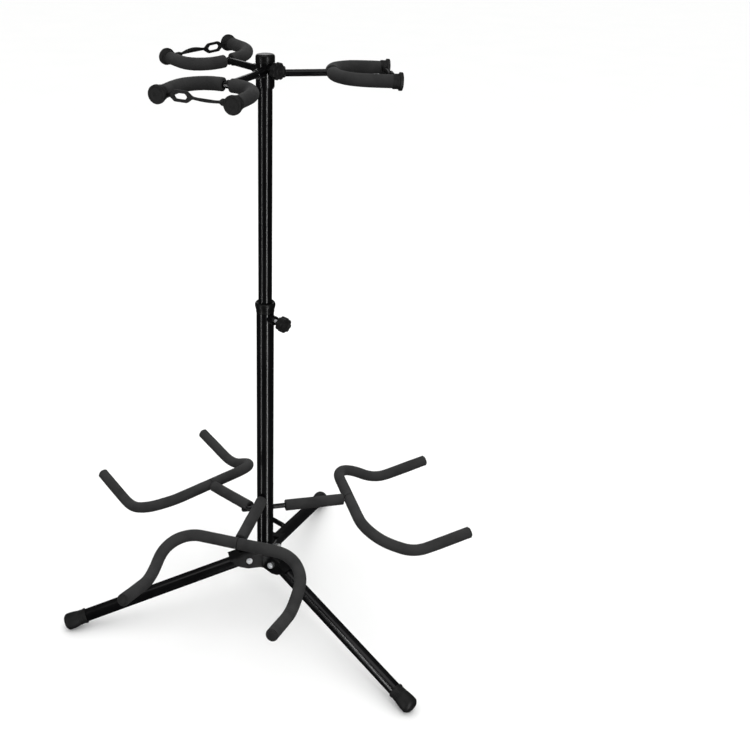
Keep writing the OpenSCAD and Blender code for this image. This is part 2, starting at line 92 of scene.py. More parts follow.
YOKE_Z = 969 * MM
HEAD_KNOB_Z = YOKE_Z + 3 * MM
YOKE_TURN = -7.2
YOKE_RISE = {"front": -1 * MM, "right": -3.5 * MM, "left": 0.5 * MM}
YOKE_REACH = {"front": 118 * MM, "right": 101 * MM, "left": 106 * MM}
YOKE_ROLL = {"front": -2.0, "right": 0.0, "left": -6.0}
YOKE_DROOP = {"front": 2.4, "right": 2.4, "left": -3.0}
YOKE_HALF = 58 * MM
YOKE_CORNER_R = 48 * MM
YOKE_PRONG = 42 * MM
YOKE_GAP = 6 * MM
SOCKET_END = 29 * MM             # mouth of the head's sockets, from the column axis
YOKE_FOAM_R = 9.9 * MM
FORK_R = 4.8 * MM
ARM_R = 5.3 * MM
CAP_R = 13.5 * MM
CAP_SKIRT = 9 * MM
CAP_SKIRT_R = YOKE_FOAM_R + 1.3 * MM
CAP_DISC = 5 * MM
HEAD_CAP_R = 14.8 * MM
NECK_R = 12.6 * MM

STRAP_BACK = 5 * MM
STRAP_T = 3 * MM
STRAP_H = 5 * MM
LOOP_LEN = 34 * MM
LOOP_H = 16.5 * MM
LOOP_BAR = 4.2 * MM
LOOP_GAP = 5 * MM
LOOP_NOSE = 0.42                # length of the loop's pointed ends, as a share of its height
BUTTON_LEN = 9 * MM
BUTTON_H = 10 * MM
STRAP_EDGE = 0.7 * MM           # rounding of the band's edges
STRAP_BOW = {"front": -1.5 * MM, "right": 2.5 * MM, "left": 5 * MM}

CRADLE_Z = {"front": 234 * MM, "right": 208 * MM, "left": 191.5 * MM}
CRADLE_TILT = {"front": 6.0, "right": 0.0, "left": 4.0}
CRADLE_OUT = {"front": 0.0, "right": 18 * MM, "left": 24 * MM}
CRADLE_REACH = 134 * MM
CRADLE_FOAM_R = 9.75 * MM
CROSSBAR_HALF = 66 * MM
CRADLE_CORNER_R = 55 * MM
PRONG_ROOT = 16 * MM
PRONG_DROP = 26.0
PRONG_RISE = 17.0
PRONG_LIFT_R = 60 * MM
PRONG_LEN = 77 * MM
CRADLE_ROD_R = 4.6 * MM
STEM_R = 4.3 * MM
STEM_FOAM_START = 18 * MM
STEM_FOAM_GAP = 1.6 * MM
FOAM_SLIT = 0.5 * MM
TIP_R = 7.6 * MM
TIP_H = 2.4 * MM

ROUND_SEGMENTS = 96
FOAM_SEGMENTS = 56
FOAM_STEP = 1.7 * MM
FOAM_PLAY = 0.1 * MM            # room between a foam sleeve's bore and its rod
CUT_LIP = 1.2 * MM              # rounding of a foam sleeve's cut edge
CREASE_PITCH = 6.2 * MM         # spacing of the creases on the inner side of a bend
EASE_STATIONS = 6               # stations over which a bend's pull on the foam fades out


# ---------- matrices ----------

def move(x=0.0, y=0.0, z=0.0):
    return Matrix.Translation((x, y, z))


def turn(degrees, axis):
    return Matrix.Rotation(math.radians(degrees), 4, axis)


def mirrored(side):
    """Side 0 as it is, side 1 mirrored across the middle plane of a fork or cradle."""
    return Matrix.Diagonal((1, -1 if side else 1, 1, 1))


SIDEWAYS = turn(90, "Z") @ turn(180, "X")
UPRIGHT = turn(-90, "Y")        # carries the +X axis of a turned piece to +Z


def fork_place(arm):
    return (
        turn(ARMS[arm] + YOKE_TURN, "Z")
        @ move(YOKE_REACH[arm], 0, YOKE_Z + YOKE_RISE[arm])
        @ turn(YOKE_ROLL[arm], "X")
        @ turn(YOKE_DROOP[arm], "Y")
    )


def reach(arm):
    return CRADLE_REACH + CRADLE_OUT[arm]


def stem_line(arm):
    return turn(ARMS[arm], "Z") @ move(0, 0, CRADLE_Z[arm]) @ turn(CRADLE_TILT[arm], "Y")


def cradle_place(arm):
    slope = math.radians(CRADLE_TILT[arm])
    out = reach(arm) * math.cos(slope)
    return turn(ARMS[arm], "Z") @ move(out, 0, CRADLE_Z[arm] - reach(arm) * math.sin(slope))


def leg_line(leg):
    return turn(LEGS[leg], "Z") @ move(PIVOT_R, 0, PIVOT_Z) @ turn(LEG_TILT, "Y")


def knob_line(z):
    return turn(KNOB_AZIMUTH, "Z") @ move(0, 0, z)


# ---------- routes ----------

class Route:
    """A line of straight stretches and bends, kept as matrices whose +X runs along it."""

    def __init__(self, start, step=FOAM_STEP):
        self.step = step
        self.at = start
        self.stations = [start]
        self.along = [0.0]
        self.press = [0.0]
        self.inner = [0.0]

    def add(self, place, length, press, inner):
        self.stations.append(place)
        self.along.append(length)
        self.press.append(press)
        self.inner.append(inner)

    def straight(self, length):
        count = max(1, round(length / self.step))
        begun = self.along[-1]
        for k in range(1, count + 1):
            gone = length * k / count
            self.add(self.at @ move(gone), begun + gone, 0.0, self.inner[-1])
        self.at = self.at @ move(length)
        return self

    def bend(self, radius, degrees, towards=0.0):
        """A bend whose inner side faces this direction round the line, 0 being +Y."""
        length = radius * math.radians(degrees)
        count = max(4, round(length / self.step))
        begun = self.along[-1]
        start = self.at @ turn(towards, "X")
        for k in range(1, count + 1):
            part = degrees * k / count
            a = math.radians(part)
            place = start @ move(radius * math.sin(a), radius * (1 - math.cos(a)))
            place = place @ turn(part, "Z") @ turn(-towards, "X")
            self.add(place, begun + length * k / count, 1.0, math.radians(towards))
        self.at = place
        return self

    def measured(self):
        """Stations, distance along, how hard the bend presses (eased at its ends) and inner side."""
        press = np.array(self.press)
        ease = np.hanning(2 * EASE_STATIONS + 1)
        padded = np.pad(press, EASE_STATIONS, mode="edge")
        eased = np.convolve(padded, ease / ease.sum(), mode="valid")
        places = np.array([[list(row) for row in m] for m in self.stations])
        return places, np.array(self.along), eased, np.array(self.inner)


def prong_route(start, from_x=0.0):
    """Line of one half of a cradle's crossbar and its prong."""
    route = Route(start @ SIDEWAYS @ move(from_x))
    route.straight(CROSSBAR_HALF - from_x).bend(CRADLE_CORNER_R, 90)
    route.straight(PRONG_ROOT).bend(PRONG_LIFT_R, PRONG_DROP + PRONG_RISE, towards=-90)
    return route.straight(PRONG_LEN)


def cradle_half(arm, side):
    return cradle_place(arm) @ mirrored(side) @ turn(PRONG_DROP, "Y")


def fork_half(arm, side):
    return fork_place(arm) @ mirrored(side)


# ---------- meshes ----------

def mesh_object(name, points, faces, smooth_angle=40.0):
    mesh = bpy.data.meshes.new(name)
    mesh.from_pydata([tuple(p) for p in points], [], faces)
    mesh.validate()
    tidy = bmesh.new()
    tidy.from_mesh(mesh)
    bmesh.ops.remove_doubles(tidy, verts=tidy.verts, dist=1e-7)
    bmesh.ops.recalc_face_normals(tidy, faces=tidy.faces)
    tidy.to_mesh(mesh)
    tidy.free()
    mesh.shade_smooth()
    mesh.set_sharp_from_angle(angle=math.radians(smooth_angle))
    piece = bpy.data.objects.new(name, mesh)
    bpy.context.scene.collection.objects.link(piece)
    return piece


def joined(name, pieces):
    """One object out of several closed shells."""
    shells = bmesh.new()
    for piece in pieces:
        shells.from_mesh(piece.data)
        bpy.data.objects.remove(piece)
    mesh = bpy.data.meshes.new(name)
    shells.to_mesh(mesh)
    shells.free()
    piece = bpy.data.objects.new(name, mesh)
    bpy.context.scene.collection.objects.link(piece)
    return piece


def ring_faces(rings, segments, wrap):
    """Quads between neighbouring rings; wrap also joins the last ring to the first."""
    faces = []
    for a in range(rings if wrap else rings - 1):
        b = (a + 1) % rings
        for k in range(segments):
            n = (k + 1) % segments
            faces.append((a * segments + k, a * segments + n, b * segments + n, b * segments + k))
    return faces


def rounded(corners, radius, steps=4):
    """An outline of (x, r) points with its inner corners rounded, each as far as its sides allow."""
    points = [Vector(c) for c in corners]
    outline = [points[0]]
    for before, here, after in zip(points, points[1:], points[2:]):
        back, on = before - here, after - here
        reach_back = min(radius, back.length * 0.45)
        reach_on = min(radius, on.length * 0.45)
        start = here + back.normalized() * reach_back
        end = here + on.normalized() * reach_on
        for k in range(steps + 1):
            t = k / steps
            outline.append(start * (1 - t) ** 2 + here * 2 * t * (1 - t) + end * t ** 2)
    outline.append(points[-1])
    return outline


def ring_points(outline, place, shape, segments):
    """Points of an outline turned about +X. shape(angle, x, r) may change the radius, as for
    lobes, flats or a thread."""
    points = []
    for x, r in outline:
        for k in range(segments):
            a = math.tau * k / segments
            out = shape(a, x, r) if shape else r
            points.append(place @ Vector((x, out * math.cos(a), out * math.sin(a))))
    return points


def turned(name, outline, place, shape=None, segments=ROUND_SEGMENTS):
    """A closed piece turned about +X from an outline that starts and ends on the axis."""
    points = ring_points(outline[1:-1], place, shape, segments)
    rings = len(outline) - 2
    faces = ring_faces(rings, segments, wrap=False)
    first, last = len(points), len(points) + 1
    points += [place @ Vector((outline[0][0], 0, 0)), place @ Vector((outline[-1][0], 0, 0))]
    final = (rings - 1) * segments
    for k in range(segments):
        n = (k + 1) % segments
        faces.append((first, k, n))
        faces.append((last, final + n, final + k))
    return mesh_object(name, points, faces)


def ringed(name, outline, place, shape=None, segments=ROUND_SEGMENTS):
    """A closed ring turned about +X from a closed outline that stays clear of the axis."""
    points = ring_points(outline, place, shape, segments)
    return mesh_object(name, points, ring_faces(len(outline), segments, wrap=True))


def closed_round(corners, radius, steps=4):
    """A closed outline with every corner rounded."""
    wrapped = [corners[-1], *corners, corners[0]]
    return rounded(wrapped, radius, steps)[1:-1]


# ---------- foam ----------

def foam_skin(along, press, inner, angles, points, seed):
    """How far each point of a sleeve's skin stands off its plain radius: uneven foam, the pull
    and push of a bend, and the shallow creases on the inner side of one."""
    facing = np.cos(angles[None, :] - inner[:, None])
    pull = press[:, None] * (0.30 * np.clip(facing, 0, 1) - 0.35 * np.clip(-facing, 0, 1))
    uneven = np.empty(points.shape[:2])
    for i, row in enumerate(points):
        for k, p in enumerate(row):
            broad = noise.noise(Vector(p) * 38 + Vector((seed, 0, 0)))
            fine = noise.noise(Vector(p) * 210 + Vector((0, seed, 0)))
            uneven[i, k] = 0.30 * broad + 0.09 * fine
    wander = np.array([noise.noise(Vector((s * 60, seed, 0.5))) for s in along])
    wave = np.abs(np.sin(math.pi * along / CREASE_PITCH + 1.7 * wander))
    crease = (1 - wave) ** 3
    fold = -0.55 * press[:, None] * crease[:, None] * np.clip(facing, 0, 1) ** 3
    return (pull + uneven + fold) * MM


def sleeve(name, route, radius, bore, seed, segments=FOAM_SEGMENTS):
    """A foam tube along a route, cut square at both ends with soft edges, and bored for its rod."""
    places, along, press, inner = route.measured()
    angles = np.linspace(0, math.tau, segments, endpoint=False)
    total = along[-1]
    kept = (along > CUT_LIP * 1.2) & (along < total - CUT_LIP * 1.2)

    def ring(place, x, r):
        local = np.stack([
            np.full(segments, x), r * np.cos(angles), r * np.sin(angles), np.ones(segments)
        ])
        return (place @ local).T[:, :3]

    def cut_end(place, outward):
        """Rings of one cut end, from the bore to the skin."""
        mid = (bore + radius) / 2
        shape = [(-0.9 * MM, bore), (-0.15 * MM, bore + 0.5 * MM), (-0.30 * MM, mid)]
        shape.append((-0.1 * MM, radius - CUT_LIP - 0.6 * MM))
        for k in range(6):
            a = math.radians(18 * k)
            shape.append((-CUT_LIP * (1 - math.cos(a)), radius - CUT_LIP * (1 - math.sin(a))))
        return [ring(place, outward * x, r) for x, r in shape]

    skin = np.array([ring(p, 0, radius) for p in places[kept]])
    centre = places[kept][:, :3, 3]
    off = foam_skin(along[kept], press[kept], inner[kept], angles, skin, seed)
    outward = (skin - centre[:, None, :]) / radius
    skin = skin + outward * off[:, :, None]
    inside = [ring(p, 0, bore) for p in places[kept][::4][::-1]]
    rings = cut_end(places[0], -1) + list(skin) + cut_end(places[-1], 1)[::-1] + inside
    points = np.concatenate(rings)
    return mesh_object(name, points, ring_faces(len(rings), segments, wrap=True), smooth_angle=60)


# ---------- materials ----------

class Finish:
    """A node material in the making: one Principled shader and short ways to drive it."""

    def __init__(self, name):
        self.material = bpy.data.materials.new(name)
        self.material.use_nodes = True
        self.tree = self.material.node_tree
        self.shader = self.tree.nodes["Principled BSDF"]
        self.place = self.tree.nodes.new("ShaderNodeTexCoord").outputs["Object"]

    def node(self, kind, inputs=(), **settings):
        made = self.tree.nodes.new(kind)
        for key, value in settings.items():
            setattr(made, key, value)
        for key, value in dict(inputs).items():
            if isinstance(value, bpy.types.NodeSocket):
                self.tree.links.new(value, made.inputs[key])
            else:
                made.inputs[key].default_value = value
        return made

    def stretched(self, x, y, z):
        """Coordinates scaled apart, for marks that run one way."""
        made = self.node("ShaderNodeMapping", {"Vector": self.place, "Scale": (x, y, z)})
        return made.outputs["Vector"]

    def grain(self, scale, detail=3.0, roughness=0.55, where=None):
        made = self.node("ShaderNodeTexNoise", {
            "Vector": where or self.place, "Scale": scale, "Detail": detail, "Roughness": roughness,
        })
        return made.outputs["Fac"]

    def cells(self, scale, feature="F1", where=None):
        made = self.node(
            "ShaderNodeTexVoronoi", {"Vector": where or self.place, "Scale": scale}, feature=feature
        )
        return made.outputs["Distance"]

    def spread(self, value, low, high, start=0.3, end=0.7):
        """Maps a texture's middle range to low..high."""
        made = self.node("ShaderNodeMapRange", {
            "Value": value, "From Min": start, "From Max": end, "To Min": low, "To Max": high,
        })
        return made.outputs["Result"]

    def sum(self, a, b, share):
        """a plus share times b."""
        made = self.node("ShaderNodeMath", {0: b, 1: share, 2: a}, operation="MULTIPLY_ADD")
        return made.outputs[0]

    def colours(self, value, *stops):
        made = self.node("ShaderNodeValToRGB", {"Fac": value})
        ramp = made.color_ramp.elements
        while len(ramp) < len(stops):
            ramp.new(0.5)
        for element, (position, colour) in zip(ramp, stops):
            element.position = position
            element.color = (*colour, 1)
        return made.outputs["Color"]

    def set(self, **values):
        """Constants and links on the shader's own sockets; _ stands for a space."""
        for key, value in values.items():
            socket = self.shader.inputs[key.replace("_", " ")]
            if isinstance(value, bpy.types.NodeSocket):
                self.tree.links.new(value, socket)
            else:
                socket.default_value = value
        return self

    def bump(self, height, distance, strength=1.0):
        made = self.node("ShaderNodeBump", {
            "Height": height, "Distance": distance, "Strength": strength,
        })
        self.tree.links.new(made.outputs["Normal"], self.shader.inputs["Normal"])
        return self


def powder_coat():
    """Gloss black powder coat: fine orange peel, faint handling marks in the gloss."""
    f = Finish("black_powder_coat")
    peel = f.grain(620, detail=2)
    smears = f.grain(26, detail=5, where=f.stretched(1, 1, 0.35))
    specks = f.cells(900)
    tone = f.colours(smears, (0.3, (0.0012, 0.0012, 0.0014)), (0.75, (0.0034, 0.0034, 0.0038)))
    f.set(Base_Color=tone, Roughness=f.spread(smears, 0.17, 0.27))
    f.set(Coat_Weight=0.5, Coat_Roughness=0.09, IOR=1.5)
    return f.bump(f.sum(peel, specks, 0.12), 0.00003, 0.08).material


def foam_finish():
    """Closed-cell foam: a fine open grain, cloudy charcoal colour and slightly polished patches."""
    f = Finish("foam_sleeve")
    cells = f.cells(1500)
    crumbs = f.grain(2600, detail=4, roughness=0.7)
    clouds = f.grain(34, detail=6)
    skin = f.sum(crumbs, cells, 0.8)
    tone = f.colours(
        f.sum(clouds, skin, 0.35),
        (0.35, (0.012, 0.012, 0.0125)), (0.62, (0.020, 0.020, 0.0205)), (0.9, (0.032, 0.032, 0.032)),
    )
    f.set(Base_Color=tone, Roughness=f.spread(clouds, 0.72, 0.92))
    f.set(Sheen_Weight=0.05, Sheen_Roughness=0.5, Specular_IOR_Level=0.25)
    return f.bump(skin, 0.00016, 0.75).material


def moulded(name, dark, light, rough, grain_scale, depth, dust=0.0):
    """Moulded rubber or nylon: stippled skin, soft mottling, optional pale dust."""
    f = Finish(name)
    stipple = f.cells(grain_scale, feature="SMOOTH_F1")
    fine = f.grain(grain_scale * 1.7, detail=3)
    mottle = f.grain(70, detail=5)
    low, high = (dark,) * 3, (light,) * 3
    pale = (light + dust,) * 3
    tone = f.colours(f.sum(mottle, fine, 0.3), (0.4, low), (0.75, high), (0.95, pale))
    f.set(Base_Color=tone, Roughness=f.spread(mottle, rough - 0.07, rough + 0.09))
    f.set(Specular_IOR_Level=0.45)
    return f.bump(f.sum(stipple, fine, 0.4), depth, 0.7).material


def zinc():
    """Bright zinc plate: turning lines, a faint blue and straw tint, and dull spots."""
    f = Finish("zinc_steel")
    lines = f.grain(1900, detail=2)
    tint = f.grain(160, detail=4)
    tone = f.colours(
        tint, (0.3, (0.74, 0.77, 0.82)), (0.55, (0.88, 0.89, 0.90)), (0.8, (0.87, 0.84, 0.76))
    )
    rough = f.spread(f.sum(lines, tint, 0.6), 0.26, 0.46, 0.5, 1.1)
    f.set(Base_Color=tone, Metallic=0.5, Roughness=rough)
    return f.bump(lines, 0.00003, 0.5).material


MATERIALS = {
    "black_powder_coat": powder_coat(),
    "foam_sleeve": foam_finish(),
    "rubber_boot": moulded("rubber_boot", 0.0040, 0.0085, 0.52, 700, 0.00012, dust=0.006),
    "rubber_cap": moulded("rubber_cap", 0.0055, 0.012, 0.54, 850, 0.00018, dust=0.012),
    "rubber_strap": moulded("rubber_strap", 0.0040, 0.0085, 0.46, 1300, 0.00006),
    "knob_plastic": moulded("knob_plastic", 0.0045, 0.011, 0.48, 1000, 0.00016, dust=0.009),
    "black_plastic": moulded("black_plastic", 0.0025, 0.0060, 0.30, 1500, 0.00004),
    "zinc_steel": zinc(),
}


def finished(piece, slot, *nodes, body=None, slack=2.5 * MM):
    """Gives a new piece its material, slot and body, and lets it stand for its CAD nodes."""
    piece.data.materials.clear()
    piece.data.materials.append(MATERIALS[slot])
    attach(piece, body or HOME[nodes[0]])
    if nodes:
        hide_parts(*nodes)
        check_fit(piece, nodes, slack)
    return piece


def check_fit(piece, nodes, slack):
    """A replacement has to fill its CAD nodes' box; stops the script if the two differ."""
    bpy.context.view_layer.update()
    corners = np.array([piece.matrix_world @ v.co for v in piece.data.vertices])
    boxes = [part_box(n) for n in nodes]
    low = np.min([b[0] for b in boxes], axis=0)
    high = np.max([b[1] for b in boxes], axis=0)
    gap = max(np.abs(corners.min(0) - low).max(), np.abs(corners.max(0) - high).max())
    if gap > slack:
        raise ValueError(f"{piece.name} is {gap / MM:.1f} mm off the box of {nodes}")


# ---------- camera, floor and light ----------

CAMERA_ORBIT = 19.4             # degrees round from the front
CAMERA_DISTANCE = 1.6035
CAMERA_HEIGHT = 1.2535
CAMERA_PITCH = 22.15            # degrees below level
CAMERA_LENS = 51.38
CAMERA_SENSOR = 36
CAMERA_SHIFT = (0.1464, -0.10)
FLOOR_SIZE = 120.0
STRIP_TALL = 3.6                # the strips run on below the floor, as its mirror image would
STRIP_MIDDLE = 0.0
BROAD_AIM = 0.5                 # height that the broad lamps point at
SKY_LOW = (-0.25, 0.05)         # upward part of a direction, and the sky's glow there and below
SKY_HIGH = (1.0, 1.42)
GLINTS = (0.018, 0.018, 0.019, 1)
BACKDROP = (1.0, 1.0, 1.0, 1)


def make_camera():
    data = bpy.data.cameras.new("camera")
    data.lens = CAMERA_LENS
    data.sensor_width = CAMERA_SENSOR
    data.shift_x, data.shift_y = CAMERA_SHIFT
    camera = bpy.data.objects.new("camera", data)
    bpy.context.scene.collection.objects.link(camera)
    orbit = math.radians(CAMERA_ORBIT)
    camera.location = (
        CAMERA_DISTANCE * math.sin(orbit), -CAMERA_DISTANCE * math.cos(orbit), CAMERA_HEIGHT
    )
    camera.rotation_euler = (math.radians(90 - CAMERA_PITCH), 0, orbit)
    bpy.context.scene.camera = camera


def make_floor():
    half = FLOOR_SIZE / 2
    corners = [(-half, -half, 0), (half, -half, 0), (half, half, 0), (-half, half, 0)]
    floor = mesh_object("floor", corners, [(0, 1, 2, 3)])
    f = Finish("floor")
    cloud = f.grain(3, detail=4)
    f.set(Base_Color=f.colours(cloud, (0.3, (0.955, 0.96, 0.955)), (0.7, (0.97, 0.97, 0.965))))
    f.set(Roughness=0.9, Specular_IOR_Level=0.1)
    floor.data.materials.append(f.bump(f.grain(400), 0.0001, 0.2).material)
    floor.visible_glossy = False
    floor.visible_diffuse = False
    floor.visible_shadow = False


def soft_box(name, azimuth, distance, height, width, tall, watts, aim_z):
    """A rectangular lamp that stands on its azimuth round the rack and faces the column."""
    data = bpy.data.lights.new(name, "AREA")
    data.shape = "RECTANGLE"
    data.size, data.size_y = width, tall
    data.energy = watts
    lamp = bpy.data.objects.new(name, data)
    bpy.context.scene.collection.objects.link(lamp)
    a = math.radians(azimuth)
    lamp.location = (distance * math.sin(a), -distance * math.cos(a), height)
    lamp.visible_camera = False
    aim = Vector((0, 0, aim_z)) - lamp.location
    lamp.rotation_euler = aim.to_track_quat("-Z", "Y").to_euler()


def make_lamps():
    strip = {"height": STRIP_MIDDLE, "tall": STRIP_TALL, "aim_z": STRIP_MIDDLE}
    soft_box("strip_left", CAMERA_ORBIT - 55, distance=1.9, width=0.075, watts=8, **strip)
    soft_box("strip_right", CAMERA_ORBIT + 28, distance=2.1, width=0.085, watts=19, **strip)
    broad = {"watts": 5, "aim_z": BROAD_AIM}
    soft_box("top", 0, distance=0.6, height=2.6, width=1.8, tall=1.8, **broad)
    soft_box("back", CAMERA_ORBIT + 180, distance=2.2, height=1.4, width=1.6, tall=1.2, **broad)


def mixed(tree, share, first, second):
    """A colour that goes from first to second, each a socket or a constant."""
    made = tree.nodes.new("ShaderNodeMix")
    made.data_type = "RGBA"
    tree.links.new(share, made.inputs[0])
    slots = [socket for socket in made.inputs if socket.type == "RGBA"]
    for slot, value in zip(slots, (first, second)):
        if isinstance(value, bpy.types.NodeSocket):
            tree.links.new(value, slot)
        else:
            slot.default_value = value
    return [socket for socket in made.outputs if socket.type == "RGBA"][0]


def make_world():
    """A sky that glows overhead and fades below the horizon, dark to glossy rays so that gloss
    shows only the lamps, and a plain pale backdrop to the camera."""
    world = bpy.data.worlds.new("studio")
    world.use_nodes = True
    tree = world.node_tree
    ray = tree.nodes.new("ShaderNodeLightPath")
    direction = tree.nodes.new("ShaderNodeTexCoord")
    axes = tree.nodes.new("ShaderNodeSeparateXYZ")
    tree.links.new(direction.outputs["Generated"], axes.inputs[0])
    sky = tree.nodes.new("ShaderNodeMapRange")
    sky.inputs["From Min"].default_value, sky.inputs["To Min"].default_value = SKY_LOW
    sky.inputs["From Max"].default_value, sky.inputs["To Max"].default_value = SKY_HIGH
    tree.links.new(axes.outputs["Z"], sky.inputs["Value"])
    surround = mixed(tree, ray.outputs["Is Glossy Ray"], sky.outputs[0], GLINTS)
    seen = mixed(tree, ray.outputs["Is Camera Ray"], surround, BACKDROP)
    tree.links.new(seen, tree.nodes["Background"].inputs["Color"])
    bpy.context.scene.world = world
    bpy.context.scene.view_settings.view_transform = "Standard"


# ---------- foam sleeves ----------

def yoke_sleeve(arm, side):
    start = fork_half(arm, side) @ SIDEWAYS
    route = Route(start @ move(YOKE_GAP))
    route.straight(YOKE_HALF - YOKE_CORNER_R - YOKE_GAP).bend(YOKE_CORNER_R, 90).straight(YOKE_PRONG)
    return route


def stem_route(arm):
    begin = STEM_FOAM_START + CRADLE_OUT[arm]
    end = reach(arm) - CRADLE_FOAM_R - STEM_FOAM_GAP
    return Route(stem_line(arm) @ move(begin)).straight(end - begin)


def foam_piece(node, route, radius, rod_r, seed):
    piece = sleeve(f"{node}_sleeve", route, radius, rod_r + FOAM_PLAY, seed)
    finished(piece, "foam_sleeve", node)


def make_foam():
    for n, arm in enumerate(ARMS):
        for side, letter in enumerate("ab"):
            seed = 11.0 * n + 4.3 * side
            fork = yoke_sleeve(arm, side)
            foam_piece(f"yoke_{arm}_foam_{letter}", fork, YOKE_FOAM_R, FORK_R, seed)
            prong = prong_route(cradle_half(arm, side), FOAM_SLIT)
            foam_piece(f"cradle_{arm}_foam_{letter}", prong, CRADLE_FOAM_R, CRADLE_ROD_R, seed + 50)
        foam_piece(f"cradle_{arm}_stem_foam", stem_route(arm), CRADLE_FOAM_R, STEM_R, 90.0 + n)


# ---------- rubber ends and straps ----------

def yoke_cap(name, place):
    """Push-on cap: a ribbed skirt, a flange with a rolled edge and a dished face."""
    rib = 0.35 * MM
    corners = [(0, 0), (0, YOKE_FOAM_R), (-CAP_SKIRT, YOKE_FOAM_R), (-CAP_SKIRT, CAP_SKIRT_R)]
    for x in (-7.0, -5.2, -3.4):
        corners += [(x * MM, CAP_SKIRT_R), ((x + 0.3) * MM, CAP_SKIRT_R - rib)]
        corners += [((x + 0.7) * MM, CAP_SKIRT_R - rib), ((x + 1.0) * MM, CAP_SKIRT_R)]
    corners += [(-1.0 * MM, CAP_SKIRT_R), (0.0, CAP_SKIRT_R + 1.0 * MM), (0.1 * MM, CAP_R)]
    corners += [(CAP_DISC, CAP_R - 0.2 * MM), (CAP_DISC, CAP_R * 0.80)]
    corners += [(CAP_DISC - 0.7 * MM, CAP_R * 0.74)]
    corners += [(CAP_DISC - 0.7 * MM, CAP_R * 0.30), (CAP_DISC - 0.2 * MM, CAP_R * 0.18)]
    corners += [(CAP_DISC - 0.2 * MM, 0)]
    return turned(name, rounded(corners, 1.1 * MM), place)


def make_yoke_caps():
    for arm in ARMS:
        pair = []
        for side in (0, 1):
            place = fork_half(arm, side) @ move(YOKE_CORNER_R + YOKE_PRONG, YOKE_HALF)
            pair.append(yoke_cap(f"cap_{side}", place))
        finished(joined(f"yoke_{arm}_end_caps", pair), "rubber_cap", f"yoke_{arm}_caps")


def make_tips():
    corners = [(-1.5 * MM, 0), (-1.5 * MM, TIP_R * 0.7), (0, TIP_R * 0.95), (0, TIP_R)]
    corners += [(TIP_H * 0.62, TIP_R), (TIP_H, TIP_R * 0.72)]
    corners += [(TIP_H * 0.8, TIP_R * 0.3), (TIP_H * 0.8, 0)]
    for arm in ARMS:
        pair = []
        for side in (0, 1):
            place = prong_route(cradle_half(arm, side)).at
            pair.append(turned(f"tip_{side}", rounded(corners, 0.9 * MM), place))
        finished(joined(f"cradle_{arm}_end_plugs", pair), "rubber_cap", f"cradle_{arm}_tips")


def soft_outline(corners, radius, steps=5):
    """A closed flat outline with its corners rounded, and enough points along it to bend."""
    closed = closed_round(corners, radius, steps)
    outline = []
    for (x0, y0), (x1, y1) in zip(closed, closed[1:] + closed[:1]):
        count = max(1, int(math.hypot(x1 - x0, y1 - y0) / (2.5 * MM)))
        outline += [(x0 + (x1 - x0) * k / count, y0 + (y1 - y0) * k / count) for k in range(count)]
    return outline


def hexagon(length, height):
    nose = height * LOOP_NOSE
    half, rise = length / 2, height / 2
    return [(-half, 0), (-half + nose, rise), (half - nose, rise),
            (half, 0), (half - nose, -rise), (-half + nose, -rise)]


def flat_moulding(name, outlines, thickness, edge):
    """Points and faces of a flat moulding with rolled edges. The outlines are closed, and those
    after the first are holes."""
    curve = bpy.data.curves.new(name, "CURVE")
    curve.dimensions = "2D"
    curve.fill_mode = "BOTH"
    curve.extrude = thickness / 2 - edge
    curve.bevel_depth = edge
    curve.bevel_resolution = 2
    curve.offset = -edge
    for outline in outlines:
        spline = curve.splines.new("POLY")
        spline.points.add(len(outline) - 1)
        for point, (x, y) in zip(spline.points, outline):
            point.co = (x, y, 0, 1)
        spline.use_cyclic_u = True
    holder = bpy.data.objects.new(name, curve)
    bpy.context.scene.collection.objects.link(holder)
    bpy.context.view_layer.update()
    graph = bpy.context.evaluated_depsgraph_get()
    mesh = bpy.data.meshes.new_from_object(holder.evaluated_get(graph))
    bpy.data.objects.remove(holder)
    points = [v.co.copy() for v in mesh.vertices]
    faces = [tuple(p.vertices) for p in mesh.polygons]
    return points, faces


def make_straps():
    """Neck straps: a thin band with a six-sided finger loop by one cap and a button by the other."""
    loop_mid = -YOKE_HALF + CAP_SKIRT_R + LOOP_GAP + LOOP_LEN / 2
    start = -YOKE_HALF + CAP_SKIRT_R - 0.5 * MM
    button_start = YOKE_HALF - CAP_SKIRT_R - BUTTON_LEN
    end = YOKE_HALF - CAP_SKIRT_R + 0.5 * MM
    half, button = STRAP_H / 2, BUTTON_H / 2
    loop_start, loop_end = loop_mid - LOOP_LEN / 2, loop_mid + LOOP_LEN / 2
    nose, rise = LOOP_H * LOOP_NOSE, LOOP_H / 2
    upper = [
        (start, half), (loop_start, half), (loop_start + nose, rise), (loop_end - nose, rise),
        (loop_end + 1 * MM, half * 0.8), (button_start - 3 * MM, half * 0.8), (button_start, button),
        (end, button),
    ]
    outer = upper + [(x, -y) for x, y in reversed(upper)]
    window = [(loop_mid + x, y) for x, y in hexagon(LOOP_LEN - 3.2 * LOOP_BAR, LOOP_H - 2 * LOOP_BAR)]
    for arm in ARMS:
        outlines = [soft_outline(outer, 2.2 * MM), soft_outline(window, 1.6 * MM)]
        points, faces = flat_moulding("strap", outlines, STRAP_T, STRAP_EDGE)
        back = YOKE_CORNER_R + YOKE_PRONG - STRAP_BACK
        placed = []
        for across, up, thick in points:
            part = (across - loop_end) / (button_start - loop_end)
            bow = STRAP_BOW[arm] * math.sin(math.pi * min(max(part, 0), 1))
            placed.append(fork_place(arm) @ Vector((back + thick, across, up + bow)))
        piece = mesh_object(f"yoke_{arm}_neck_strap", placed, faces)
        finished(piece, "rubber_strap", f"yoke_{arm}_strap", slack=6 * MM)


# ---------- feet and hardware ----------

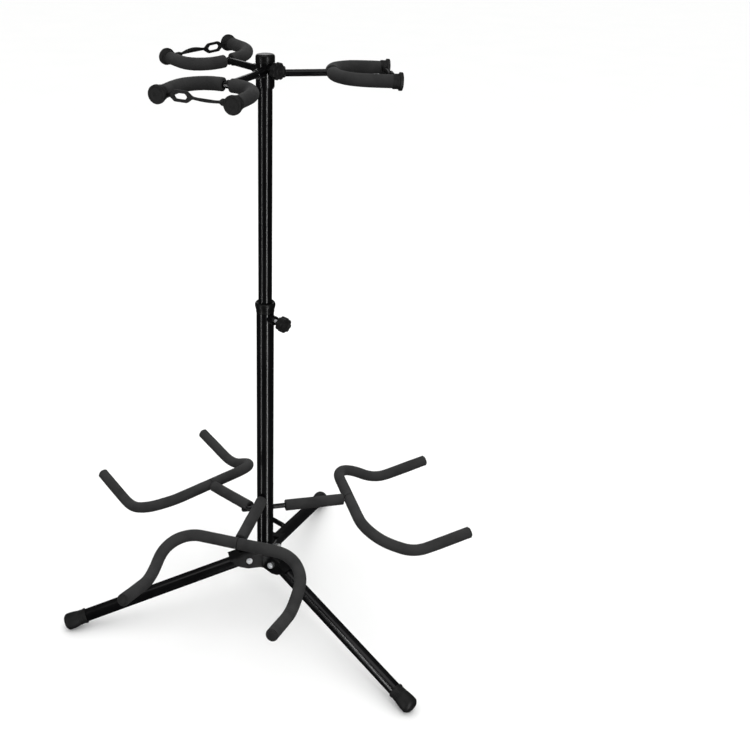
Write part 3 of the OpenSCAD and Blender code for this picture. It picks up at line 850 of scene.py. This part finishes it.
def make_boots():
    """Moulded boots: a rolled flange, three grip grooves, a swollen nose and a tread that lies
    flat on the floor."""
    back = LEG_LEN + 4 * MM - BOOT_LEN
    front = back + BOOT_LEN
    flange = INNER_R + 2.1 * MM
    neck = INNER_R + 1.3 * MM
    corners = [(LEG_LEN, 0), (LEG_LEN, INNER_R), (back, INNER_R), (back, flange)]
    corners += [(back + 3.4 * MM, flange), (back + 4.2 * MM, neck)]
    for k in range(3):
        x = back + (6.2 + 3.2 * k) * MM
        swell = neck + (0.15 + 0.18 * k) * MM
        corners += [(x, swell), (x + 0.5 * MM, swell - 0.55 * MM)]
        corners += [(x + 1.1 * MM, swell - 0.55 * MM), (x + 1.6 * MM, swell + 0.1 * MM)]
    corners += [(back + 20 * MM, BOOT_R - 0.6 * MM), (back + 26 * MM, BOOT_R)]
    corners += [(back + 31 * MM, BOOT_R), (back + 34.5 * MM, BOOT_R - 0.25 * MM)]
    corners += [(back + 37.2 * MM, BOOT_R - 2.8 * MM), (front, BOOT_R - 5 * MM)]
    corners += [(front, BOOT_R * 0.45), (front - 0.8 * MM, BOOT_R * 0.40)]
    corners += [(front - 0.8 * MM, BOOT_R * 0.2), (front, BOOT_R * 0.15), (front, 0)]
    for leg in LEGS:
        piece = turned(f"leg_{leg}_foot", rounded(corners, 1.5 * MM), leg_line(leg))
        for vertex in piece.data.vertices:
            vertex.co.z = max(vertex.co.z, 0.0)
        finished(piece, "rubber_boot", f"leg_{leg}_boot")


def scallop(radius, depth_at):
    """The lobed outline of a knob: round, less an arc between each pair of lobes."""
    arc = radius * 0.3
    centre = radius + arc * 0.45
    step = math.tau / KNOB_LOBES

    def shape(angle, x, r):
        off = (angle + step / 2) % step - step / 2
        across = centre * math.sin(off)
        if abs(across) >= arc or depth_at(x) <= 0:
            return r
        cut = centre * math.cos(off) - math.sqrt(arc ** 2 - across ** 2)
        cut = radius + (cut - radius) * depth_at(x)
        blend = 0.7 * MM
        h = max(blend - abs(r - cut), 0) / blend
        return min(r, cut) - h * h * blend / 4 if r > radius * 0.62 else r

    return shape


def make_knob(node, at_z, start, radius, height):
    """Lobed hand knob: a plain neck, rounded lobes, a raised rim and a dished, ringed face."""
    seat, neck = KNOB_SEAT * 0.9, KNOB_NECK
    corners = [(seat, 0), (seat, BOLT_R), (0, BOLT_R), (0, 6.5 * MM)]
    corners += [(neck - 0.3 * MM, 6.5 * MM), (neck, 7.4 * MM), (neck, radius), (height, radius)]
    corners += [(height, radius * 0.60), (height - 0.7 * MM, radius * 0.55)]
    corners += [(height - 0.7 * MM, radius * 0.38), (height - 0.2 * MM, radius * 0.33)]
    corners += [(height - 0.2 * MM, radius * 0.16), (height - 1.0 * MM, radius * 0.12)]
    corners.append((height - 1.0 * MM, 0))
    place = knob_line(at_z) @ move(start)
    shape = scallop(radius, lambda x: 1.0 if x > neck - 0.1 * MM else 0.0)
    piece = turned(f"{node}_grip", rounded(corners, 1.8 * MM, steps=6), place, shape, segments=192)
    finished(piece, "knob_plastic", node)


def make_screw(node, at_z, start):
    """Clamp screw with a rolled thread of 1 mm pitch and a chamfered tip."""
    pitch, depth = 1.0 * MM, 0.55 * MM
    end = start + KNOB_SEAT - SCREW_TIP
    rings = int(end / (pitch / 6))
    outline = [(0, 0), (0, BOLT_R - 0.8 * MM)]
    outline += [(end * k / rings, BOLT_R) for k in range(1, rings)]
    outline += [(end, BOLT_R - 0.4 * MM), (end, 0)]

    def thread(angle, x, r):
        phase = (x / pitch - angle / math.tau) % 1.0
        tooth = abs(2 * phase - 1)
        return min(r, BOLT_R - 0.02 * MM - depth * min(1, 1.3 * tooth))

    piece = turned(f"{node}_thread", outline, knob_line(at_z) @ move(SCREW_TIP), thread, segments=48)
    finished(piece, "zinc_steel", node)


def hexagonal(flat):
    """Flats of a hexagon this far from the axis, on whatever reaches past them."""
    def shape(angle, x, r):
        if r <= flat * 0.93:
            return r
        side = flat / math.cos((angle + math.pi / 6) % (math.pi / 3) - math.pi / 6)
        return min(r, side)

    return shape


def make_leg_bolts():
    """Pivot bolts with chamfered heads and washers, and lock nuts with a nylon ring."""
    flat = 4.9 * MM * math.cos(math.pi / 6)
    reach_out = 2 * BRACKET_OUT + NUT_H + 1 * MM
    heads, shanks, nuts = [], [], []
    for leg in LEGS:
        place = turn(LEGS[leg], "Z") @ move(PIVOT_R, BRACKET_OUT, PIVOT_Z) @ turn(-90, "Z")
        head = [(-BOLT_HEAD_H + 0.5 * MM, 0), (-BOLT_HEAD_H + 0.5 * MM, 2.2 * MM)]
        head += [(-BOLT_HEAD_H, 2.7 * MM), (-BOLT_HEAD_H, 4.2 * MM), (-BOLT_HEAD_H + 0.6 * MM, 4.9 * MM)]
        head += [(-1.3 * MM, 4.9 * MM), (-1.2 * MM, 4.0 * MM), (-1.2 * MM, 0)]
        heads.append(turned("head", head, place, hexagonal(flat)))
        washer = [(-1.25 * MM, 0), (-1.2 * MM, BOLT_HEAD_R - 0.2 * MM), (-1.0 * MM, BOLT_HEAD_R)]
        washer += [(-0.2 * MM, BOLT_HEAD_R), (0, BOLT_HEAD_R - 0.2 * MM), (0, BOLT_R)]
        washer += [(reach_out - 0.5 * MM, BOLT_R), (reach_out, BOLT_R - 0.5 * MM), (reach_out, 0)]
        shanks.append(turned("shank", washer, place))
        nut_place = place @ move(2 * BRACKET_OUT)
        wide = BOLT_HEAD_R * math.cos(math.pi / 6)
        nut = [(0, BOLT_R), (0, 4.9 * MM), (0.5 * MM, BOLT_HEAD_R), (3.0 * MM, BOLT_HEAD_R)]
        nut += [(3.5 * MM, 4.7 * MM), (NUT_H - 0.3 * MM, 4.5 * MM), (NUT_H, 4.1 * MM), (NUT_H, BOLT_R)]
        nuts.append(ringed("nut", nut, nut_place, hexagonal(wide)))
    finished(joined("leg_pivot_bolts", heads + shanks), "zinc_steel", "leg_bolts")
    finished(joined("leg_lock_nuts", nuts), "zinc_steel", "leg_nuts")


def make_collar():
    """Flared guide collar: a skirt over the tube, a rolled rim and a throat round the inner tube."""
    top, skirt = TUBE_TOP, TUBE_TOP - 10 * MM
    bore = TUBE_R - 1.8 * MM
    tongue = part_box("collar")[0].z
    corners = [(tongue, COLLAR_BORE_R), (tongue, bore), (top, bore), (top, TUBE_R)]
    corners += [(skirt, TUBE_R), (skirt, TUBE_R + 0.7 * MM), (skirt + 2.0 * MM, TUBE_R + 0.8 * MM)]
    corners += [(skirt + 2.4 * MM, TUBE_R + 0.5 * MM), (skirt + 3.0 * MM, TUBE_R + 0.5 * MM)]
    corners += [(top + 0.6 * MM, COLLAR_R - 0.2 * MM), (top + 3.4 * MM, COLLAR_R)]
    corners += [(top + 6.6 * MM, COLLAR_R - 1.4 * MM), (top + 7 * MM, COLLAR_R - 2.6 * MM)]
    corners += [(top + 5.6 * MM, COLLAR_BORE_R + 1.5 * MM), (top + 4.8 * MM, COLLAR_BORE_R)]
    piece = ringed("tube_collar", closed_round(corners, 1.0 * MM), UPRIGHT)
    finished(piece, "black_plastic", "collar")


def make_head_cap():
    """Domed cap with a rolled shoulder, a seam above its foot and a faint dish in its top."""
    low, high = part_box("head_cap")
    bottom, top = low.z, high.z
    corners = [(bottom + 4 * MM, 0), (bottom + 4 * MM, NECK_R), (bottom, NECK_R), (bottom, HEAD_CAP_R)]
    corners += [(bottom + 1.8 * MM, HEAD_CAP_R), (bottom + 2.0 * MM, HEAD_CAP_R - 0.45 * MM)]
    corners += [(bottom + 2.6 * MM, HEAD_CAP_R - 0.45 * MM), (bottom + 2.8 * MM, HEAD_CAP_R)]
    corners += [(top, HEAD_CAP_R - 0.3 * MM), (top, HEAD_CAP_R * 0.2), (top - 0.15 * MM, 0)]
    piece = turned("mast_head_cap", rounded(corners, 4.5 * MM, steps=8), UPRIGHT)
    finished(piece, "black_plastic", "head_cap")


def weld_bead(name, around, place, thickness, ripples):
    """A ripple-faced weld bead that rings a round yoke arm of radius around."""
    def rippled(angle, x, r):
        return r + 0.14 * MM * math.sin(ripples * angle) if r > around else r

    corners = [(-thickness, around - 0.2 * MM), (thickness, around - 0.2 * MM)]
    corners += [(thickness * 0.8, around + thickness * 0.35), (0, around + thickness * 0.75)]
    corners += [(-thickness * 0.8, around + thickness * 0.35)]
    piece = ringed(name, closed_round(corners, 0.5 * MM, 3), place, rippled)
    finished(piece, "black_powder_coat", body="yoke_head")


def make_welds():
    for arm in ARMS:
        line = turn(ARMS[arm] + YOKE_TURN, "Z") @ move(z=YOKE_Z + YOKE_RISE[arm])
        joint = line @ move(YOKE_REACH[arm] - FORK_R * 0.9)
        weld_bead(f"yoke_{arm}_weld", ARM_R, joint, 1.8 * MM, 15)
        socket = line @ move(SOCKET_END)
        weld_bead(f"yoke_{arm}_socket_weld", ARM_R, socket, 1.6 * MM, 17)


def finish_frame_nodes():
    """Carried-over nodes keep their mesh and get their finish and slot."""
    slots = {part["node"]: part["material_slot"] for part in frame["record"]["subparts"]}
    for node, thing in frame["nodes"].items():
        if thing.hide_render:
            continue
        thing.data.materials.clear()
        thing.data.materials.append(MATERIALS[slots[node]])


# ---------- finish ----------

make_camera()
make_floor()
make_lamps()
make_world()
make_foam()
make_yoke_caps()
make_tips()
make_straps()
make_boots()
make_knob("height_knob", HEIGHT_KNOB_Z, **HEIGHT_KNOB)
make_knob("head_knob", HEAD_KNOB_Z, **HEAD_KNOB)
make_screw("height_screw", HEIGHT_KNOB_Z, HEIGHT_KNOB["start"])
make_screw("head_screw", HEAD_KNOB_Z, HEAD_KNOB["start"])
make_leg_bolts()
make_collar()
make_head_cap()
make_welds()
finish_frame_nodes()
